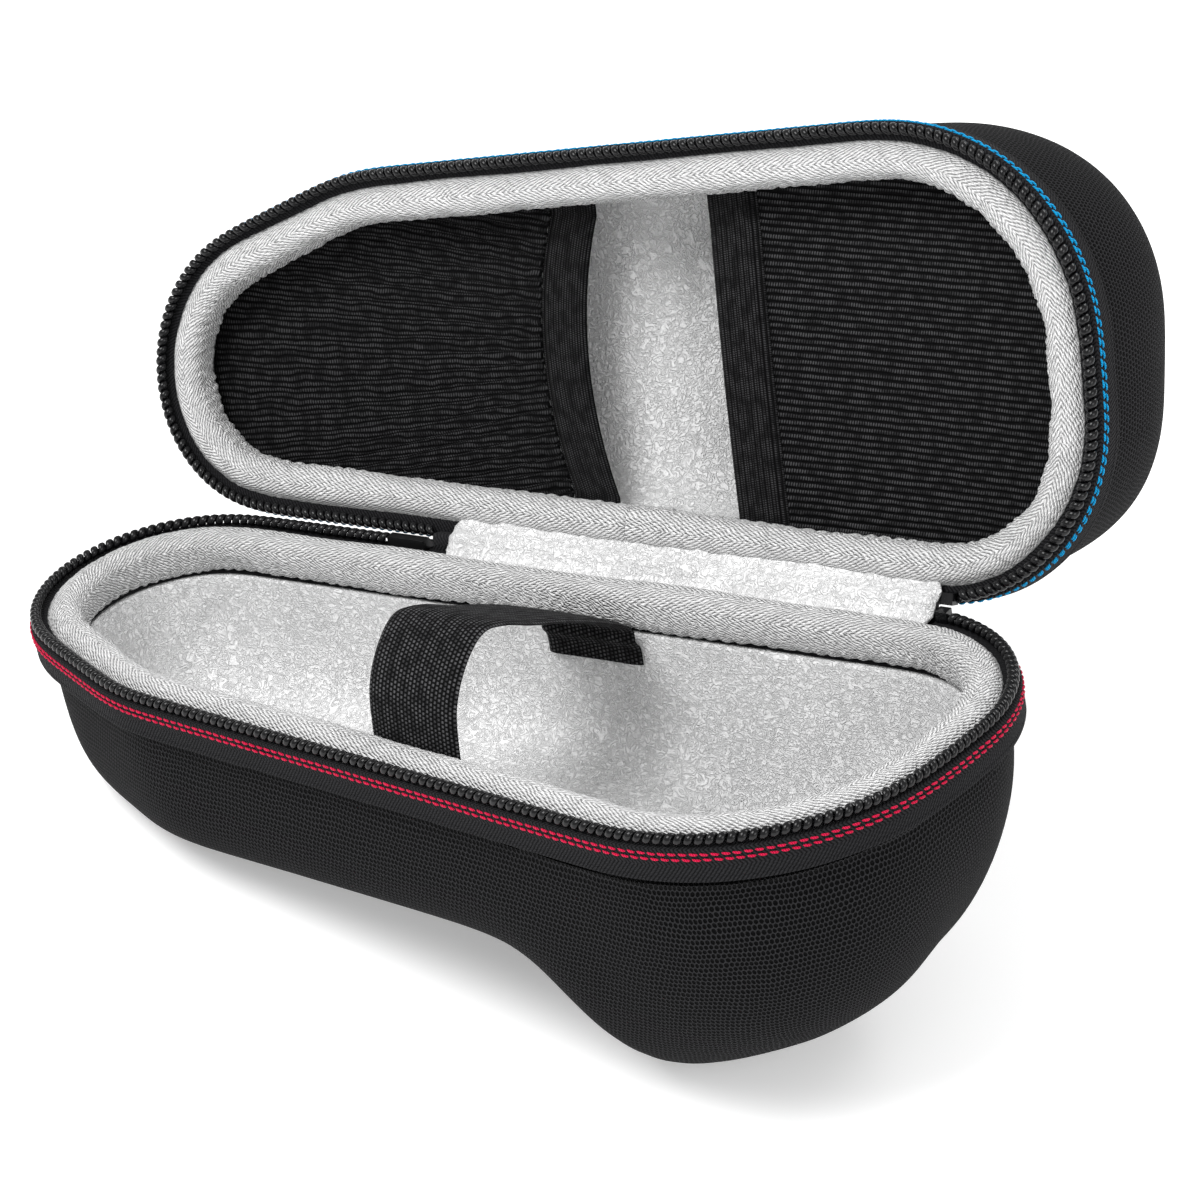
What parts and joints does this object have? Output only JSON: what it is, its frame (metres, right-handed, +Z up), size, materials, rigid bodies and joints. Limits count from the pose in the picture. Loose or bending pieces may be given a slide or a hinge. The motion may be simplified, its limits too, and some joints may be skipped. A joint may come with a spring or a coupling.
{
  "type": "electric shaver hard case",
  "caption": "Zipped hard case for an electric shaver, lid open: moulded black halves, pale padded rims, elastic pockets in the lid and an elastic strap across the base.",
  "frame": {"origin": "on the level plane the case rests on, at the lowest place of the head pocket's underside", "axes": "+X towards the wide head end along the hinge side, +Y towards the hinge, +Z up; the parting plane rises 11.6 degrees towards +X"},
  "size_m": [0.2244, 0.1686, 0.1531],
  "materials": {
    "cover_fabric": "black woven cover with a fine cell weave, matt with a faint sheen",
    "foam": "moulded EVA foam, closed cell, matt",
    "lining_plush": "pale grey brushed plush",
    "tape_fabric": "black herringbone zip tape",
    "coil_nylon": "glossy black nylon coil",
    "red_thread": "crimson polyester thread",
    "blue_thread": "bright blue polyester thread",
    "binding_fabric": "white herringbone binding tape over a soft roll",
    "stop_nylon": "moulded black nylon",
    "strap_elastic": "black ribbed elastic webbing",
    "hinge_fabric": "black woven hinge fabric",
    "slider_metal": "black lacquered zinc",
    "gathered_fabric": "black gathered ribbed knit",
    "knit_fabric": "black ribbed knit with rows of fine grey dots",
    "band_elastic": "black ribbed elastic band"
  },
  "bodies": {
    "base": {"base_outer_cover": "cover_fabric", "base_foam_shell": "foam", "base_lining": "lining_plush", "base_zip_tape": "tape_fabric", "base_zip_coil": "coil_nylon", "base_stitching": "red_thread", "base_binding": "binding_fabric", "base_zip_stop": "stop_nylon", "elastic_strap": "strap_elastic", "hinge_outer_fabric": "hinge_fabric", "hinge_inner_lining": "lining_plush", "zip_slider": "slider_metal"},
    "lid": {"lid_outer_cover": "cover_fabric", "lid_foam_shell": "foam", "lid_lining": "lining_plush", "lid_zip_tape": "tape_fabric", "lid_zip_coil": "coil_nylon", "lid_stitching": "blue_thread", "lid_binding": "binding_fabric", "lid_zip_stop": "stop_nylon", "narrow_pocket_panel": "gathered_fabric", "narrow_pocket_band": "band_elastic", "wide_pocket_panel": "knit_fabric", "wide_pocket_band": "band_elastic"},
    "pull": {"zip_pull": "slider_metal"}
  },
  "joints": [
    {"name": "lid_hinge", "type": "hinge", "parent": "base", "child": "lid", "pos_m": [-0.06203, 0.0225, 0.05972], "axis": [-0.9794, 0, -0.2019], "range_deg": [-113.7, 16], "deforming": ["hinge_outer_fabric", "hinge_inner_lining"]},
    {"name": "pull_swing", "type": "hinge", "parent": "base", "child": "pull", "pos_m": [-0.10117, 0.02705, 0.044], "axis": [0.9794, 0, 0.2019], "range_deg": [-10, 40]}
  ]
}
